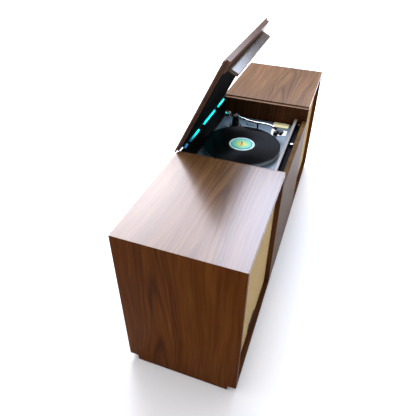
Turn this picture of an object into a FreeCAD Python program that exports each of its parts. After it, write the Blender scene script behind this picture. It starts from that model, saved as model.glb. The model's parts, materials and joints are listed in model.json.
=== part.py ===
# Stereo console: a low cabinet with a speaker in each wing, and a record deck
# in a centre well under a hinged lid. Millimetres, +X along the length, -Y to
# the front, +Z up. Origin: on the floor, at the middle of the whole outline: the
# open lid carries its back edge a little past the cabinet's back.
import FreeCAD, Part
import math
import os

V = FreeCAD.Vector

# ---- cabinet -----------------------------------------------------------------
LENGTH = 1450.0
DEPTH = 380.0
HEIGHT = 576.0
BOARD = 16.0          # thickness of the cabinet boards
WELL_WIDTH = 540.0    # lid width, measured over the two partitions
KICK_HEIGHT = 26.0    # toe kick: how far the boards stand off the floor
KICK_DEPTH = 30.0
GLIDE_HEIGHT = 3.0
GLIDE_R = 12.5
BACK_SHEET = 6.0
BACK_INSET = 4.0
RAIL_T = 12.0         # hinge rail along the back of the well
RAIL_HEIGHT = 70.0
BATTEN = 18.0
FIT = 0.5             # joiner's clearance round fitted panels

# ---- speaker wings -----------------------------------------------------------
GRILLE_SET = 18.0     # grille cloth behind the cabinet's front edges
CLOTH_T = 1.0
FRAME_T = 10.0
FRAME_W = 22.0
BAFFLE_T = 16.0
WOOFER_R = 104.0
FLANGE_T = 4.0
WOOFER_RISE = 168.0   # woofer's centre above the bottom board
TWEETER_R = 45.0
TWEETER_DROP = 156.0  # tweeter's centre below the cabinet's top
BADGE_W = 80.0
BADGE_H = 32.0
BADGE_T = 1.5
BADGE_RISE = 26.0

# ---- lid ---------------------------------------------------------------------
LID_T = 13.0
LIP_T = 6.0           # thin edge that rests on the partitions
LID_OPEN = 63.5       # degrees, as modelled
LID_GAP = 1.0
FASCIA_T = 12.0
FASCIA_DROP = 40.0
FASCIA_SET = 43.0     # fascia behind the lid's front edge, over the front strip
FASCIA_IN = 60.0      # fascia in from the left partition
EDGE_DROP = 5.0       # thicker front edge, down past the lid's underside
LINING_T = 1.5
LINING_IN = 8.0
HINGE_OFFSET = 3.0    # pin behind the cabinet's back
HINGE_PIN_R = 1.5
HINGE_KNUCKLE_R = 2.7
HINGE_LENGTH = 64.0
HINGE_SPACING = 340.0
LEAF_T = 1.2
LEAF_H = 12.0
LIGHT_W = 16.0        # light bar under the lid, near the hinge
LIGHT_H = 6.0
LIGHT_SET = 15.0
LIGHT_END = 14.0      # light bar short of the partitions
LENS_T = 6.0

# ---- front of the well -------------------------------------------------------
FRONT_T = 18.0
FRONT_DROP = 60.0     # front panel's top edge below the cabinet's top
CHANNEL_W = 22.0
CHANNEL_DROP = 88.0   # channel floor below the cabinet's top
CHANNEL_T = 1.5
STRIP_T = 12.0
STRIP_DROP = 56.0
STRIP_H = 80.0
KNOB_R = 7.0
KNOB_H = 12.0
KNOB_SHAFT_R = 3.0
VOLUME_IN = 192.0     # knob centres in from the right partition
TONE_IN = 16.0

# ---- record deck -------------------------------------------------------------
DECK_DROP = 88.0      # deck plate's top below the cabinet's top
DECK_T = 3.0
DECK_GAP = 5.0        # round the floating deck plate
DECK_SPARE = 49.0     # free space to the left of the deck plate
SPINDLE_IN = 179.0    # spindle from the deck plate's left edge
SPINDLE_UP = 155.0    # and from its front edge
GROMMET_H = 8.0
GROMMET_R = 11.0
SHELF_T = 12.0
PLATTER_R = 148.0
PLATTER_WALL = 8.0
PLATTER_LIFT = 3.0    # rim above the deck plate
PLATTER_H = 15.0
WEB_T = 6.0
SUB_R = 82.0
MAT_T = 2.5
RECORD_R = 151.0
RECORD_T = 1.8
LABEL_R = 50.0
SPINDLE_R = 3.6
BEARING_R = 5.0
RUN = 0.05            # radial running clearance
PULLEY_R = 6.0
PULLEY_REACH = 118.0
PULLEY_ANGLE = 135.0
BELT_T = 1.2
BELT_GAP = 0.3
MOTOR_R = 24.0
MOTOR_H = 38.0

# ---- tonearm -----------------------------------------------------------------
PIVOT_DX = 184.0      # arm pivot from the spindle
PIVOT_DY = 81.0
ARM_RISE = 43.0       # arm's centre line above the deck plate
ARM_R = 4.5
ARM_TURN = 259.0      # heading of the arm on its rest, degrees from +X
STYLUS_GAP = 0.4
HEADSHELL_X = 182.0   # along the arm, and across it
HEADSHELL_Y = -6.0
HEADSHELL_TURN = -20.0
REST_ALONG = 108.0
WEIGHT_R = 15.0
WEIGHT_L = 24.0

DECK_Z = HEIGHT - DECK_DROP
CHANNEL_FLOOR = HEIGHT - CHANNEL_DROP
STRIP_TOP = HEIGHT - STRIP_DROP
STRIP_BOTTOM = STRIP_TOP - STRIP_H
ARM_Z = DECK_Z + ARM_RISE
X_IN = WELL_WIDTH / 2 - BOARD       # inner face of the partitions
X_OUT = WELL_WIDTH / 2
X_END = LENGTH / 2
TILT = math.radians(LID_OPEN)
OVERHANG = HINGE_OFFSET * (1 - math.cos(TILT)) + LID_T * math.sin(TILT)
FRONT = -(DEPTH + OVERHANG) / 2
BACK = FRONT + DEPTH
FLOOR_Z = KICK_HEIGHT + BOARD       # top of the bottom board
SILL = HEIGHT - LID_T               # underside of the closed lid
RAIL_FACE = BACK - RAIL_T
CLOTH_Y = FRONT + GRILLE_SET
FRAME_Y = CLOTH_Y + CLOTH_T
BAFFLE_Y = FRAME_Y + FRAME_T
CHANNEL_Y = FRONT + FRONT_T
STRIP_Y = CHANNEL_Y + CHANNEL_W
SHELF_TOP = DECK_Z - DECK_T - GROMMET_H
PLATTER_Z = DECK_Z + PLATTER_LIFT
MAT_Z = PLATTER_Z + PLATTER_H
RECORD_Z = MAT_Z + MAT_T
RECORD_TOP = RECORD_Z + RECORD_T
PIN_Y = BACK + HINGE_OFFSET
PIN_Z = SILL
WING_X = (X_OUT + X_END - BOARD) / 2
BACK_FACE = BACK - BACK_INSET - BACK_SHEET
FRONT_TOP = HEIGHT - FRONT_DROP
WOOFER_Z = FLOOR_Z + WOOFER_RISE
TWEETER_Z = HEIGHT - TWEETER_DROP
LIGHT_LENGTH = 2 * (X_IN - LIGHT_END)
KNOB_XS = {"volume_knob": X_IN - VOLUME_IN, "tone_knob": X_IN - TONE_IN}
DECK_LEFT = -X_IN + DECK_SPARE
DECK_RIGHT = X_IN - DECK_GAP
DECK_FRONT = STRIP_Y + STRIP_T + DECK_GAP
DECK_BACK = RAIL_FACE - DECK_GAP
SPINDLE_X = DECK_LEFT + SPINDLE_IN
SPINDLE_Y = DECK_FRONT + SPINDLE_UP
PIVOT_X = SPINDLE_X + PIVOT_DX
PIVOT_Y = SPINDLE_Y + PIVOT_DY
PULLEY_X = SPINDLE_X + PULLEY_REACH * math.cos(math.radians(PULLEY_ANGLE))
PULLEY_Y = SPINDLE_Y + PULLEY_REACH * math.sin(math.radians(PULLEY_ANGLE))
BELT_Z = PLATTER_Z + 2.0
BEARING_FLOOR = DECK_Z - DECK_T - 40.0
SPEED_KNOB = (SPINDLE_X + 162.0, SPINDLE_Y - 101.0)
CUE = (PIVOT_X + 32.0, PIVOT_Y - 43.0)


# ---- helpers -----------------------------------------------------------------
def box(x, y, z):
    return Part.makeBox(x[1] - x[0], y[1] - y[0], z[1] - z[0], V(x[0], y[0], z[0]))


def rod(r, x, y, z):
    return Part.makeCylinder(r, z[1] - z[0], V(x, y, z[0]))


def rod_x(r, x, y, z):
    return Part.makeCylinder(r, x[1] - x[0], V(x[0], y, z), V(1, 0, 0))


def rod_y(r, x, y, z):
    return Part.makeCylinder(r, y[1] - y[0], V(x, y[0], z), V(0, 1, 0))


def prism(points, direction):
    wire = Part.makePolygon([V(*p) for p in points + points[:1]])
    return Part.Face(wire).extrude(V(*direction))


def turned(profile, x, y):
    """Solid of revolution about a vertical axis; profile is (radius, height)."""
    wire = Part.makePolygon([V(x + r, y, z) for r, z in profile + profile[:1]])
    return Part.Face(wire).revolve(V(x, y, 0), V(0, 0, 1), 360)


def turned_y(profile, x, z):
    """Solid of revolution about a front-to-back axis; profile is (radius, y)."""
    wire = Part.makePolygon([V(x + r, y, z) for r, y in profile + profile[:1]])
    return Part.Face(wire).revolve(V(x, 0, z), V(0, 1, 0), 360)


def mirror_x(shape):
    return shape.mirror(V(0, 0, 0), V(1, 0, 0))


def both(solids):
    return list(solids) + [mirror_x(s) for s in solids]


def opened(shape):
    """Turn a piece built on the closed lid to the lid's open position."""
    result = shape.copy()
    result.rotate(V(0, PIN_Y, PIN_Z), V(1, 0, 0), -LID_OPEN)
    return result


def save(name, *solids):
    shape = solids[0] if len(solids) == 1 else Part.makeCompound(list(solids))
    shape.exportStep("parts/" + name + ".step")


def round_edges(shape, radius, test):
    edges = [e for e in shape.Edges if test(e)]
    return shape.makeFillet(radius, edges)


# ---- cabinet -----------------------------------------------------------------
def end_panel():
    profile = [(X_END, FRONT, GLIDE_HEIGHT), (X_END, FRONT, HEIGHT),
               (X_END - BOARD, FRONT, HEIGHT - BOARD), (X_END - BOARD, FRONT, GLIDE_HEIGHT)]
    panel = prism(profile, (0, DEPTH, 0))
    for y in ((FRONT - 1, FRONT + KICK_DEPTH), (BACK - KICK_DEPTH, BACK + 1)):
        panel = panel.cut(box((X_END - BOARD - 1, X_END + 1), y, (0, KICK_HEIGHT)))
    return panel


def top_panel():
    profile = [(X_OUT, FRONT, HEIGHT - BOARD), (X_OUT, FRONT, HEIGHT),
               (X_END, FRONT, HEIGHT), (X_END - BOARD, FRONT, HEIGHT - BOARD)]
    return prism(profile, (0, DEPTH, 0))


def partition():
    return box((X_IN, X_OUT), (FRONT, BACK), (FLOOR_Z, HEIGHT - LIP_T))


def wing_back():
    return box((X_OUT, X_END - BOARD), (BACK_FACE, BACK_FACE + BACK_SHEET),
               (FLOOR_Z, HEIGHT - BOARD))


def centre_back():
    top = SILL - RAIL_HEIGHT
    sheet = box((-X_IN, X_IN), (BACK_FACE, BACK_FACE + BACK_SHEET), (FLOOR_Z, top))
    pitch = 2 * (X_IN - 54) / 8
    for row in range(2):
        z = top - 130 + 40 * row
        for i in range(9):
            x = (i - 4) * pitch
            sheet = sheet.cut(box((x - 15, x + 15), (BACK_FACE - 1, BACK), (z, z + 8)))
    return sheet.cut(box((-90, 90), (BACK_FACE - 1, BACK), (FLOOR_Z + 20, FLOOR_Z + 80)))


def battens():
    y = (BACK_FACE - BATTEN, BACK_FACE)
    z = (FLOOR_Z, HEIGHT - BOARD)
    solids = []
    for x in (X_OUT, X_END - BOARD - BATTEN):
        solids.append(box((x, x + BATTEN), y, z))
        solids.append(box((-x - BATTEN, -x), y, z))
    for x in (-X_IN, X_IN - BATTEN):
        solids.append(box((x, x + BATTEN), y, (FLOOR_Z, SHELF_TOP - SHELF_T - BATTEN)))
    return solids + shelf_cleats()


def back_screws():
    solids = []
    for side in (-1, 1):
        for x in (X_OUT + BATTEN / 2, X_END - BOARD - BATTEN / 2):
            for z in (FLOOR_Z + 40, HEIGHT / 2, HEIGHT - 60):
                solids.append(wood_screw(side * x, z))
        for z in (FLOOR_Z + 40, HEIGHT / 2 - 30, STRIP_BOTTOM - 30):
            solids.append(wood_screw(side * (X_IN - BATTEN / 2), z))
    return solids


def wood_screw(x, z):
    outer = BACK_FACE + BACK_SHEET
    return turned_y([(0, outer), (3.5, outer), (2.2, outer + 2.2), (0, outer + 2.2)], x, z)


def plinth_rails():
    z = (GLIDE_HEIGHT, KICK_HEIGHT)
    x = (-X_END + BOARD, X_END - BOARD)
    front = box(x, (FRONT + KICK_DEPTH, FRONT + KICK_DEPTH + BOARD), z)
    rear = box(x, (BACK - KICK_DEPTH - BOARD, BACK - KICK_DEPTH), z)
    return front, rear


def floor_glides():
    solids = []
    for x in (-X_END + 60, 0, X_END - 60):
        for y in (FRONT + KICK_DEPTH + BOARD / 2, BACK - KICK_DEPTH - BOARD / 2):
            solids.append(turned([(0, 0), (BOARD / 2 - 1, 0), (BOARD / 2, 1),
                                  (BOARD / 2, GLIDE_HEIGHT), (0, GLIDE_HEIGHT)], x, y))
    return solids


def cabinet():
    save("end_panels", *both([end_panel()]))
    save("wing_top_panels", *both([top_panel()]))
    save("partitions", *both([partition()]))
    bottom = box((-X_END + BOARD, X_END - BOARD), (FRONT, BACK), (KICK_HEIGHT, FLOOR_Z))
    save("bottom_board", bottom)
    save("plinth_rails", *plinth_rails())
    save("floor_glides", *floor_glides())
    save("back_panels", centre_back(), *both([wing_back()]))
    save("battens", *battens())
    save("wood_screws", *back_screws(), *both(speaker_screws()))
    save("hinge_rail", box((-X_IN, X_IN), (RAIL_FACE, BACK), (SILL - RAIL_HEIGHT, SILL)))
    front = box((-X_IN, X_IN), (FRONT, CHANNEL_Y), (FLOOR_Z, FRONT_TOP))
    save("front_panel", front)


# ---- speaker wings -----------------------------------------------------------
def baffle():
    x = (X_OUT, X_END - BOARD)
    y = (BAFFLE_Y, BAFFLE_Y + BAFFLE_T)
    board = box(x, y, (FLOOR_Z, HEIGHT - BOARD))
    board = board.cut(rod_y(WOOFER_R - 14, WING_X, (y[0] - 1, y[1] + 1), WOOFER_Z))
    return board.cut(rod_y(TWEETER_R - 12, WING_X, (y[0] - 1, y[1] + 1), TWEETER_Z))


def grille_frame():
    x = (X_OUT + FIT, X_END - BOARD - FIT)
    z = (FLOOR_Z + FIT, HEIGHT - BOARD - FIT)
    y = (FRAME_Y, BAFFLE_Y)
    outer = box(x, y, z)
    inner = box((x[0] + FRAME_W, x[1] - FRAME_W), (y[0] - 1, y[1] + 1),
                (z[0] + FRAME_W, z[1] - FRAME_W))
    return outer.cut(inner)


def grille_cloth():
    return box((X_OUT + FIT, X_END - BOARD - FIT), (CLOTH_Y, FRAME_Y),
               (FLOOR_Z + FIT, HEIGHT - BOARD - FIT))


def woofer_basket():
    y = BAFFLE_Y
    r = WOOFER_R
    shell = turned_y([(r - 16, y - FLANGE_T), (r, y - FLANGE_T), (r, y), (r - 15, y), (r - 15, y + 18),
                      (52, y + 52), (52, y + 60), (20, y + 60), (20, y + 57), (49, y + 57),
                      (49, y + 50), (r - 18, y + 16)], WING_X, WOOFER_Z)
    for i in range(4):
        window = box((WING_X - 22, WING_X + 22), (y + 22, y + 46), (WOOFER_Z + 40, WOOFER_Z + 120))
        window.rotate(V(WING_X, y, WOOFER_Z), V(0, 1, 0), 45 + 90 * i)
        shell = shell.cut(window)
    return shell


def woofer_cone():
    y = BAFFLE_Y - FLANGE_T
    r = WOOFER_R - 8
    return turned_y([(r, y), (r, y - 1.2), (r - 8, y - 1.2), (r - 13, y - 3), (r - 17, y - 1),
                     (28, y + 36), (14, y + 30), (0, y + 27.5), (0, y + 29), (14, y + 31.5),
                     (28, y + 38), (r - 17, y + 0.5), (r - 13, y - 1.2), (r - 9, y)],
                    WING_X, WOOFER_Z)


def woofer_magnet():
    y = BAFFLE_Y + 60
    body = turned_y([(0, y), (50, y), (50, y + 4), (56, y + 4), (56, y + 20), (50, y + 20),
                     (50, y + 25), (0, y + 25)], WING_X, WOOFER_Z)
    coil = rod_y(14, WING_X, (BAFFLE_Y - FLANGE_T + 31.5, y), WOOFER_Z)
    return body.fuse(coil)


def tweeter():
    y = BAFFLE_Y
    r = TWEETER_R
    return turned_y([(0, y - 2), (9, y - 4), (13, y - 1), (r - 14, y - 3), (r, y - 3), (r, y),
                     (r - 13, y), (r - 13, y + 22), (30, y + 22), (30, y + 30), (0, y + 30)],
                    WING_X, TWEETER_Z)


def speaker_screws():
    solids = []
    for i in range(8):
        a = math.radians(22.5 + 45 * i)
        x = WING_X + (WOOFER_R - 4) * math.cos(a)
        z = WOOFER_Z + (WOOFER_R - 4) * math.sin(a)
        y = BAFFLE_Y - FLANGE_T
        solids.append(turned_y([(0, y), (3.2, y), (2, y - 2), (0, y - 2)], x, z))
    return solids


def wings():
    save("speaker_baffles", *both([baffle()]))
    save("grille_frames", *both([grille_frame()]))
    save("grille_cloths", *both([grille_cloth()]))
    save("woofer_baskets", *both([woofer_basket(), woofer_magnet()]))
    save("woofer_cones", *both([woofer_cone()]))
    save("tweeters", *both([tweeter()]))
    x = -WING_X
    z = FLOOR_Z + BADGE_RISE
    badge = box((x - BADGE_W / 2, x + BADGE_W / 2), (CLOTH_Y - BADGE_T, CLOTH_Y),
                (z - BADGE_H / 2, z + BADGE_H / 2))
    save("badge_plate", badge)


# ---- lid ---------------------------------------------------------------------
def lid_panel():
    lip = box((-X_OUT + FIT, X_OUT - FIT), (FRONT, BACK), (HEIGHT - LIP_T, HEIGHT))
    core = box((-X_IN + LID_GAP, X_IN - LID_GAP), (FRONT, BACK), (SILL, HEIGHT - LIP_T))
    edge = box((-X_IN + LID_GAP, X_IN - LID_GAP), (FRONT, FRONT + FASCIA_SET), (SILL - EDGE_DROP, SILL))
    return lip.fuse(core).fuse(edge).removeSplitter()


def lid_fascia():
    y = FRONT + FASCIA_SET
    return box((-X_IN + FASCIA_IN, X_IN - LID_GAP), (y, y + FASCIA_T), (SILL - FASCIA_DROP, SILL))


def lid_lining():
    y = FRONT + FASCIA_SET + FASCIA_T
    return box((-X_IN + LINING_IN, X_IN - LINING_IN), (y, BACK - LIGHT_SET), (SILL - LINING_T, SILL))


def light_housing():
    y = (BACK - LIGHT_SET - LIGHT_W, BACK - LIGHT_SET)
    x = LIGHT_LENGTH / 2
    top = SILL - LINING_T
    bar = box((-x, x), y, (top - LIGHT_H, top))
    for low, high in lens_spans() + [pilot_span()]:
        bar = bar.cut(box((low, high), (y[0] + 3, y[1] - 3), (top - LIGHT_H - 1, top - 3)))
    return bar


def lens_spans():
    half = LIGHT_LENGTH / 2
    return [(low * half, high * half) for low, high in ((-0.78, -0.47), (-0.18, 0.28), (0.53, 0.78))]


def pilot_span():
    return (-LIGHT_LENGTH / 2 + 4, -LIGHT_LENGTH / 2 + 12)


def light_lens(low, high):
    y = (BACK - LIGHT_SET - LIGHT_W, BACK - LIGHT_SET)
    top = SILL - LINING_T
    plug = box((low + 0.1, high - 0.1), (y[0] + 3.1, y[1] - 3.1), (top - LIGHT_H, top - 3.1))
    cap = box((low - 2, high + 2), (y[0] + 1, y[1] - 1), (top - LIGHT_H - LENS_T, top - LIGHT_H))
    return plug.fuse(cap)


def hinge_centres():
    return [-HINGE_SPACING / 2, HINGE_SPACING / 2]


def hinge_fixed(x):
    """Leaf on the hinge rail, its two outer knuckles and the pin."""
    third = HINGE_LENGTH / 3
    low = x - HINGE_LENGTH / 2
    leaf = box((low, low + HINGE_LENGTH), (BACK, BACK + LEAF_T), (PIN_Z - LEAF_H, PIN_Z - 3.6))
    solid = leaf
    for start in (low, low + 2 * third):
        knuckle = rod_x(HINGE_KNUCKLE_R, (start, start + third), PIN_Y, PIN_Z)
        web = box((start, start + third), (BACK, BACK + LEAF_T), (PIN_Z - 4, PIN_Z))
        solid = solid.fuse(knuckle).fuse(web)
    trim = box((low - 1, low + HINGE_LENGTH + 1), (BACK - 9, BACK), (PIN_Z - 9, PIN_Z + 9))
    pin = rod_x(HINGE_PIN_R, (low, low + HINGE_LENGTH), PIN_Y, PIN_Z)
    return solid.cut(trim).fuse(pin)


def hinge_moving(x):
    """Leaf on the lid's back edge and its middle knuckle, built on the closed lid."""
    third = HINGE_LENGTH / 3
    low = x - HINGE_LENGTH / 2
    start = low + third + 0.2
    end = low + 2 * third - 0.2
    leaf = box((low, low + HINGE_LENGTH), (BACK, BACK + LEAF_T), (PIN_Z + 3.6, PIN_Z + LEAF_H))
    knuckle = rod_x(HINGE_KNUCKLE_R, (start, end), PIN_Y, PIN_Z)
    web = box((start, end), (BACK, BACK + LEAF_T), (PIN_Z, PIN_Z + 4))
    solid = leaf.fuse(knuckle).fuse(web)
    trim = box((low - 1, low + HINGE_LENGTH + 1), (BACK - 9, BACK), (PIN_Z - 9, PIN_Z + 9))
    bore = rod_x(HINGE_PIN_R + RUN, (low - 1, low + HINGE_LENGTH + 1), PIN_Y, PIN_Z)
    return solid.cut(trim).cut(bore)


def lid():
    save("lid_panel", opened(lid_panel()))
    save("lid_fascia", opened(lid_fascia()))
    save("lid_lining", opened(lid_lining()))
    save("lid_light_housing", opened(light_housing()))
    save("lid_light_lenses", *[opened(light_lens(*span)) for span in lens_spans()])
    save("lid_pilot_lens", opened(light_lens(*pilot_span())))
    save("hinge_lid_leaves", *[opened(hinge_moving(x)) for x in hinge_centres()])
    save("hinge_rail_leaves", *[hinge_fixed(x) for x in hinge_centres()])


# ---- front of the well -------------------------------------------------------
def front_strip():
    return box((-X_IN, X_IN), (STRIP_Y, STRIP_Y + STRIP_T), (STRIP_BOTTOM, STRIP_TOP))


def control_channel():
    outer = box((-X_IN, X_IN), (CHANNEL_Y, STRIP_Y),
                (CHANNEL_FLOOR, CHANNEL_FLOOR + 24))
    hollow = box((-X_IN - 1, X_IN + 1), (CHANNEL_Y + CHANNEL_T, STRIP_Y - CHANNEL_T),
                 (CHANNEL_FLOOR + CHANNEL_T, CHANNEL_FLOOR + 30))
    tray = outer.cut(hollow)
    for x in KNOB_XS.values():
        tray = tray.cut(rod(KNOB_SHAFT_R + 1, x, channel_y(), (CHANNEL_FLOOR - 1, CHANNEL_FLOOR + 3)))
    return tray


def channel_y():
    return (CHANNEL_Y + STRIP_Y) / 2


def knob(x):
    base = CHANNEL_FLOOR + CHANNEL_T + 0.5
    y = channel_y()
    top = base + KNOB_H
    cap = turned([(0, base), (KNOB_R, base), (KNOB_R, top - 1), (KNOB_R - 1, top), (0, top)], x, y)
    mark = box((x - 0.5, x + 0.5), (y - KNOB_R, y - 2), (top - 0.6, top + 1))
    shaft = rod(KNOB_SHAFT_R, x, y, (CHANNEL_FLOOR - 12, base))
    return cap.cut(mark).fuse(shaft)


def potentiometer(x):
    y = channel_y()
    top = CHANNEL_FLOOR
    body = turned([(0, top - 16), (9, top - 16), (9, top - 5), (5, top - 5), (5, top), (0, top)], x, y)
    return body.cut(rod(KNOB_SHAFT_R + RUN, x, y, (top - 13, top + 1)))


def well_front():
    save("front_strip", front_strip())
    save("control_channel", control_channel())
    save("control_switches", speed_switch(), *[potentiometer(x) for x in KNOB_XS.values()])
    for name, x in KNOB_XS.items():
        save(name, knob(x))


# ---- record deck -------------------------------------------------------------
def grommet_places():
    return [(x, y) for x in (DECK_LEFT + 22, DECK_RIGHT - 22)
            for y in (DECK_FRONT + 22, DECK_BACK - 22)]


def deck_shelf():
    shelf = box((-X_IN, X_IN), (STRIP_Y + STRIP_T, RAIL_FACE), (SHELF_TOP - SHELF_T, SHELF_TOP))
    well = box((SPINDLE_X - 150, SPINDLE_X + 60), (SPINDLE_Y - 60, SPINDLE_Y + 120),
               (SHELF_TOP - SHELF_T - 1, SHELF_TOP + 1))
    shelf = shelf.cut(well)
    x, y = SPEED_KNOB
    switch_hole = box((x - 18, x + 18), (y - 14, y + 14), (SHELF_TOP - SHELF_T - 1, SHELF_TOP + 1))
    shelf = shelf.cut(switch_hole)
    return shelf.cut(rod(20, PIVOT_X, PIVOT_Y, (SHELF_TOP - SHELF_T - 1, SHELF_TOP + 1)))


def shelf_cleats():
    z = (SHELF_TOP - SHELF_T - BATTEN, SHELF_TOP - SHELF_T)
    y = (STRIP_Y + STRIP_T, BACK_FACE)
    return both([box((X_IN - BATTEN, X_IN), y, z)])


def deck_plate():
    plate = box((DECK_LEFT, DECK_RIGHT), (DECK_FRONT, DECK_BACK), (DECK_Z - DECK_T, DECK_Z))
    plate = round_edges(plate, 6, lambda e: abs(e.tangentAt(e.FirstParameter).z) > 0.9)
    below = (DECK_Z - DECK_T - 1, DECK_Z + 1)
    plate = plate.cut(rod(BEARING_R + 4, SPINDLE_X, SPINDLE_Y, below))
    plate = plate.cut(rod(8, PULLEY_X, PULLEY_Y, below))
    plate = plate.cut(rod(3 + 0.3, *CUE, below))
    return plate.cut(rod(KNOB_SHAFT_R + 1, *SPEED_KNOB, below))


def grommets():
    z0 = SHELF_TOP
    z1 = DECK_Z - DECK_T
    mid = (z0 + z1) / 2
    return [turned([(0, z0), (GROMMET_R, z0), (GROMMET_R, z0 + 2), (GROMMET_R - 3, mid),
                    (GROMMET_R, z1 - 2), (GROMMET_R, z1), (0, z1)], x, y)
            for x, y in grommet_places()]


def bearing_housing():
    top = DECK_Z - DECK_T
    body = turned([(0, top - 46), (9, top - 46), (9, top - 3), (26, top - 3), (26, top),
                   (BEARING_R + 3.9, top), (BEARING_R + 3.9, top + 5), (0, top + 5)],
                  SPINDLE_X, SPINDLE_Y)
    return body.cut(rod(BEARING_R + RUN, SPINDLE_X, SPINDLE_Y, (BEARING_FLOOR, top + 6)))


def sub_platter():
    z = PLATTER_Z
    top = z + PLATTER_H
    return turned([(0, BEARING_FLOOR), (BEARING_R, BEARING_FLOOR), (BEARING_R, z + 2.4),
                   (18, z + 2.4), (18, z + 6), (SUB_R - 5, z + 6), (SUB_R - 5, z + 1),
                   (SUB_R, z + 1), (SUB_R, z + PLATTER_H - WEB_T), (BEARING_R, z + PLATTER_H - WEB_T),
                   (BEARING_R, top), (SPINDLE_R, top), (SPINDLE_R, RECORD_TOP + 9),
                   (SPINDLE_R - 1.6, RECORD_TOP + 12), (0, RECORD_TOP + 12)],
                  SPINDLE_X, SPINDLE_Y)


def platter():
    z = PLATTER_Z
    top = z + PLATTER_H
    r = PLATTER_R
    return turned([(BEARING_R + RUN, top - WEB_T), (r - PLATTER_WALL, top - WEB_T),
                   (r - PLATTER_WALL, z), (r - 1, z), (r, z + 1), (r, top - 1), (r - 1, top),
                   (BEARING_R + RUN, top)], SPINDLE_X, SPINDLE_Y)


def platter_mat():
    return turned([(SPINDLE_R + 0.3, MAT_Z), (PLATTER_R - 2, MAT_Z), (PLATTER_R - 2, RECORD_Z),
                   (SPINDLE_R + 0.3, RECORD_Z)], SPINDLE_X, SPINDLE_Y)


def record_disc():
    hole = SPINDLE_R + RUN
    return turned([(hole, RECORD_Z), (LABEL_R, RECORD_Z), (RECORD_R - 4, RECORD_Z),
                   (RECORD_R, RECORD_Z + 0.4), (RECORD_R, RECORD_TOP - 0.4),
                   (RECORD_R - 4, RECORD_TOP), (hole, RECORD_TOP)], SPINDLE_X, SPINDLE_Y)


def record_label():
    hole = SPINDLE_R + RUN
    return turned([(hole, RECORD_TOP), (LABEL_R, RECORD_TOP), (LABEL_R, RECORD_TOP + 0.2),
                   (hole, RECORD_TOP + 0.2)], SPINDLE_X, SPINDLE_Y)


def motor():
    top = DECK_Z - DECK_T - 3
    can = turned([(0, top - MOTOR_H), (MOTOR_R - 3, top - MOTOR_H), (MOTOR_R, top - MOTOR_H + 3),
                  (MOTOR_R, top - 3), (MOTOR_R + 6, top - 3), (MOTOR_R + 6, top), (0, top)],
                 PULLEY_X, PULLEY_Y)
    return can.cut(rod(1.5 + RUN, PULLEY_X, PULLEY_Y, (top - 20, top + 1)))


def motor_grommets():
    top = DECK_Z - DECK_T
    solids = []
    for i in range(3):
        a = math.radians(30 + 120 * i)
        x = PULLEY_X + (MOTOR_R + 1) * math.cos(a)
        y = PULLEY_Y + (MOTOR_R + 1) * math.sin(a)
        solids.append(rod(4, x, y, (top - 3, top)))
    return solids


def motor_pulley():
    z = BELT_Z
    return turned([(0, z - 20), (1.5, z - 20), (1.5, z - 3), (PULLEY_R + 1, z - 3),
                   (PULLEY_R + 1, z - 1.5), (PULLEY_R, z - 0.5), (PULLEY_R, z + 5.5),
                   (PULLEY_R + 1, z + 6.3), (0, z + 6.3)], PULLEY_X, PULLEY_Y)


def belt_outline(grow):
    """Face bounded by the two pulleys, grown outwards, and their outer tangents."""
    big = SUB_R + grow
    small = PULLEY_R + grow
    a = math.radians(PULLEY_ANGLE)
    lean = math.acos((big - small) / PULLEY_REACH)
    points = []
    for r, x, y, s in ((big, SPINDLE_X, SPINDLE_Y, 1), (small, PULLEY_X, PULLEY_Y, 1),
                       (small, PULLEY_X, PULLEY_Y, -1), (big, SPINDLE_X, SPINDLE_Y, -1)):
        points.append((x + r * math.cos(a + s * lean), y + r * math.sin(a + s * lean), BELT_Z))
    quad = prism(points, (0, 0, 5))
    z = (BELT_Z, BELT_Z + 5)
    return quad.fuse(rod(big, SPINDLE_X, SPINDLE_Y, z)).fuse(rod(small, PULLEY_X, PULLEY_Y, z))


def drive_belt():
    return belt_outline(BELT_GAP + BELT_T).cut(belt_outline(BELT_GAP))


def control_plate():
    x, y = SPEED_KNOB
    points = [(x - 14, y + 17, DECK_Z), (x + 48, y + 25, DECK_Z), (x + 48, y - 43, DECK_Z),
              (x + 6, y - 43, DECK_Z), (x - 3, y - 20, DECK_Z)]
    plate = prism(points, (0, 0, 1.5))
    return plate.cut(rod(KNOB_SHAFT_R + 1, *SPEED_KNOB, (DECK_Z - 1, DECK_Z + 3)))


def speed_knob():
    x, y = SPEED_KNOB
    base = DECK_Z + 2
    top = base + 13
    cap = turned([(0, base), (10, base), (9, top - 1.5), (7.5, top), (0, top)], x, y)
    mark = box((x - 0.6, x + 0.6), (y - 12, y - 2), (top - 0.8, top + 1))
    return cap.cut(mark).fuse(rod(KNOB_SHAFT_R, x, y, (DECK_Z - 16, base)))


def speed_switch():
    x, y = SPEED_KNOB
    top = DECK_Z - DECK_T
    body = box((x - 14, x + 14), (y - 10, y + 10), (top - 20, top))
    return body.cut(rod(KNOB_SHAFT_R + RUN, x, y, (top - 14, top + 1)))


def escutcheon():
    y = SPEED_KNOB[1]
    plate = box((DECK_RIGHT - 45, DECK_RIGHT - 3), (y - 41, y + 27), (DECK_Z, DECK_Z + 4))
    return round_edges(plate, 3, lambda e: abs(e.tangentAt(e.FirstParameter).z) > 0.9)


def deck():
    save("deck_shelf", deck_shelf())
    save("deck_plate", deck_plate())
    save("deck_grommets", *grommets())
    save("bearing_housing", bearing_housing())
    save("sub_platter", sub_platter())
    save("platter", platter())
    save("platter_mat", platter_mat())
    save("record", record_disc())
    save("record_label", record_label())
    save("motor", motor(), *motor_grommets())
    save("motor_pulley", motor_pulley())
    save("drive_belt", drive_belt())
    save("control_plates", control_plate(), escutcheon())
    save("speed_knob", speed_knob())


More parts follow.
